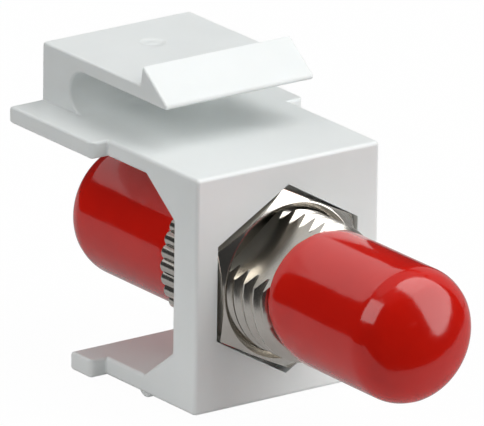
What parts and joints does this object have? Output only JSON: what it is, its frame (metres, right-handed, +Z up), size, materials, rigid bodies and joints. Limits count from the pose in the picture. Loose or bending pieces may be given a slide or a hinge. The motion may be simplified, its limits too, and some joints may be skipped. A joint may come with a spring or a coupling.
{
  "type": "st fibre coupler in a keystone housing",
  "caption": "Keystone snap-in housing with a latch, carrying a threaded fibre coupler with bayonet barrels, a thin hex nut, a knurled collar and soft dust caps.",
  "frame": {"origin": "on the coupler's axis, in the plane of the housing's front face", "axes": "+X to the right when looking at the front face, +Y backwards into the panel along the coupler, +Z up towards the latch"},
  "size_m": [0.017, 0.035, 0.0216],
  "materials": {
    "white_plastic": "fine satin moulding",
    "nickel_plate": "bright nickel plate over turned brass",
    "brass": "turned",
    "zirconia": "polished",
    "red_vinyl": "glossy dipped vinyl"
  },
  "bodies": {
    "adapter": {"housing": "white_plastic", "coupler_body": "nickel_plate", "rear_barrel": "nickel_plate", "front_bayonet_pins": "nickel_plate", "rear_bayonet_pins": "nickel_plate", "front_sleeve_holder": "brass", "rear_sleeve_holder": "brass", "alignment_sleeve": "zirconia", "hex_nut": "nickel_plate"},
    "latch": {"latch_arm": "white_plastic"},
    "front_cap": {"front_dust_cap": "red_vinyl"},
    "rear_cap": {"rear_dust_cap": "red_vinyl"}
  },
  "joints": [
    {"name": "latch_flex", "type": "hinge", "parent": "adapter", "child": "latch", "pos_m": [0, 0.0139, 0.01142], "axis": [1, 0, 0], "range_deg": [0, 12], "stiffness_Nm_per_rad": 0.6},
    {"name": "front_cap_slide", "type": "slide", "parent": "adapter", "child": "front_cap", "axis": [0, -1, 0], "range_m": [0, 0.014]},
    {"name": "rear_cap_slide", "type": "slide", "parent": "adapter", "child": "rear_cap", "axis": [0, 1, 0], "range_m": [0, 0.014]}
  ]
}
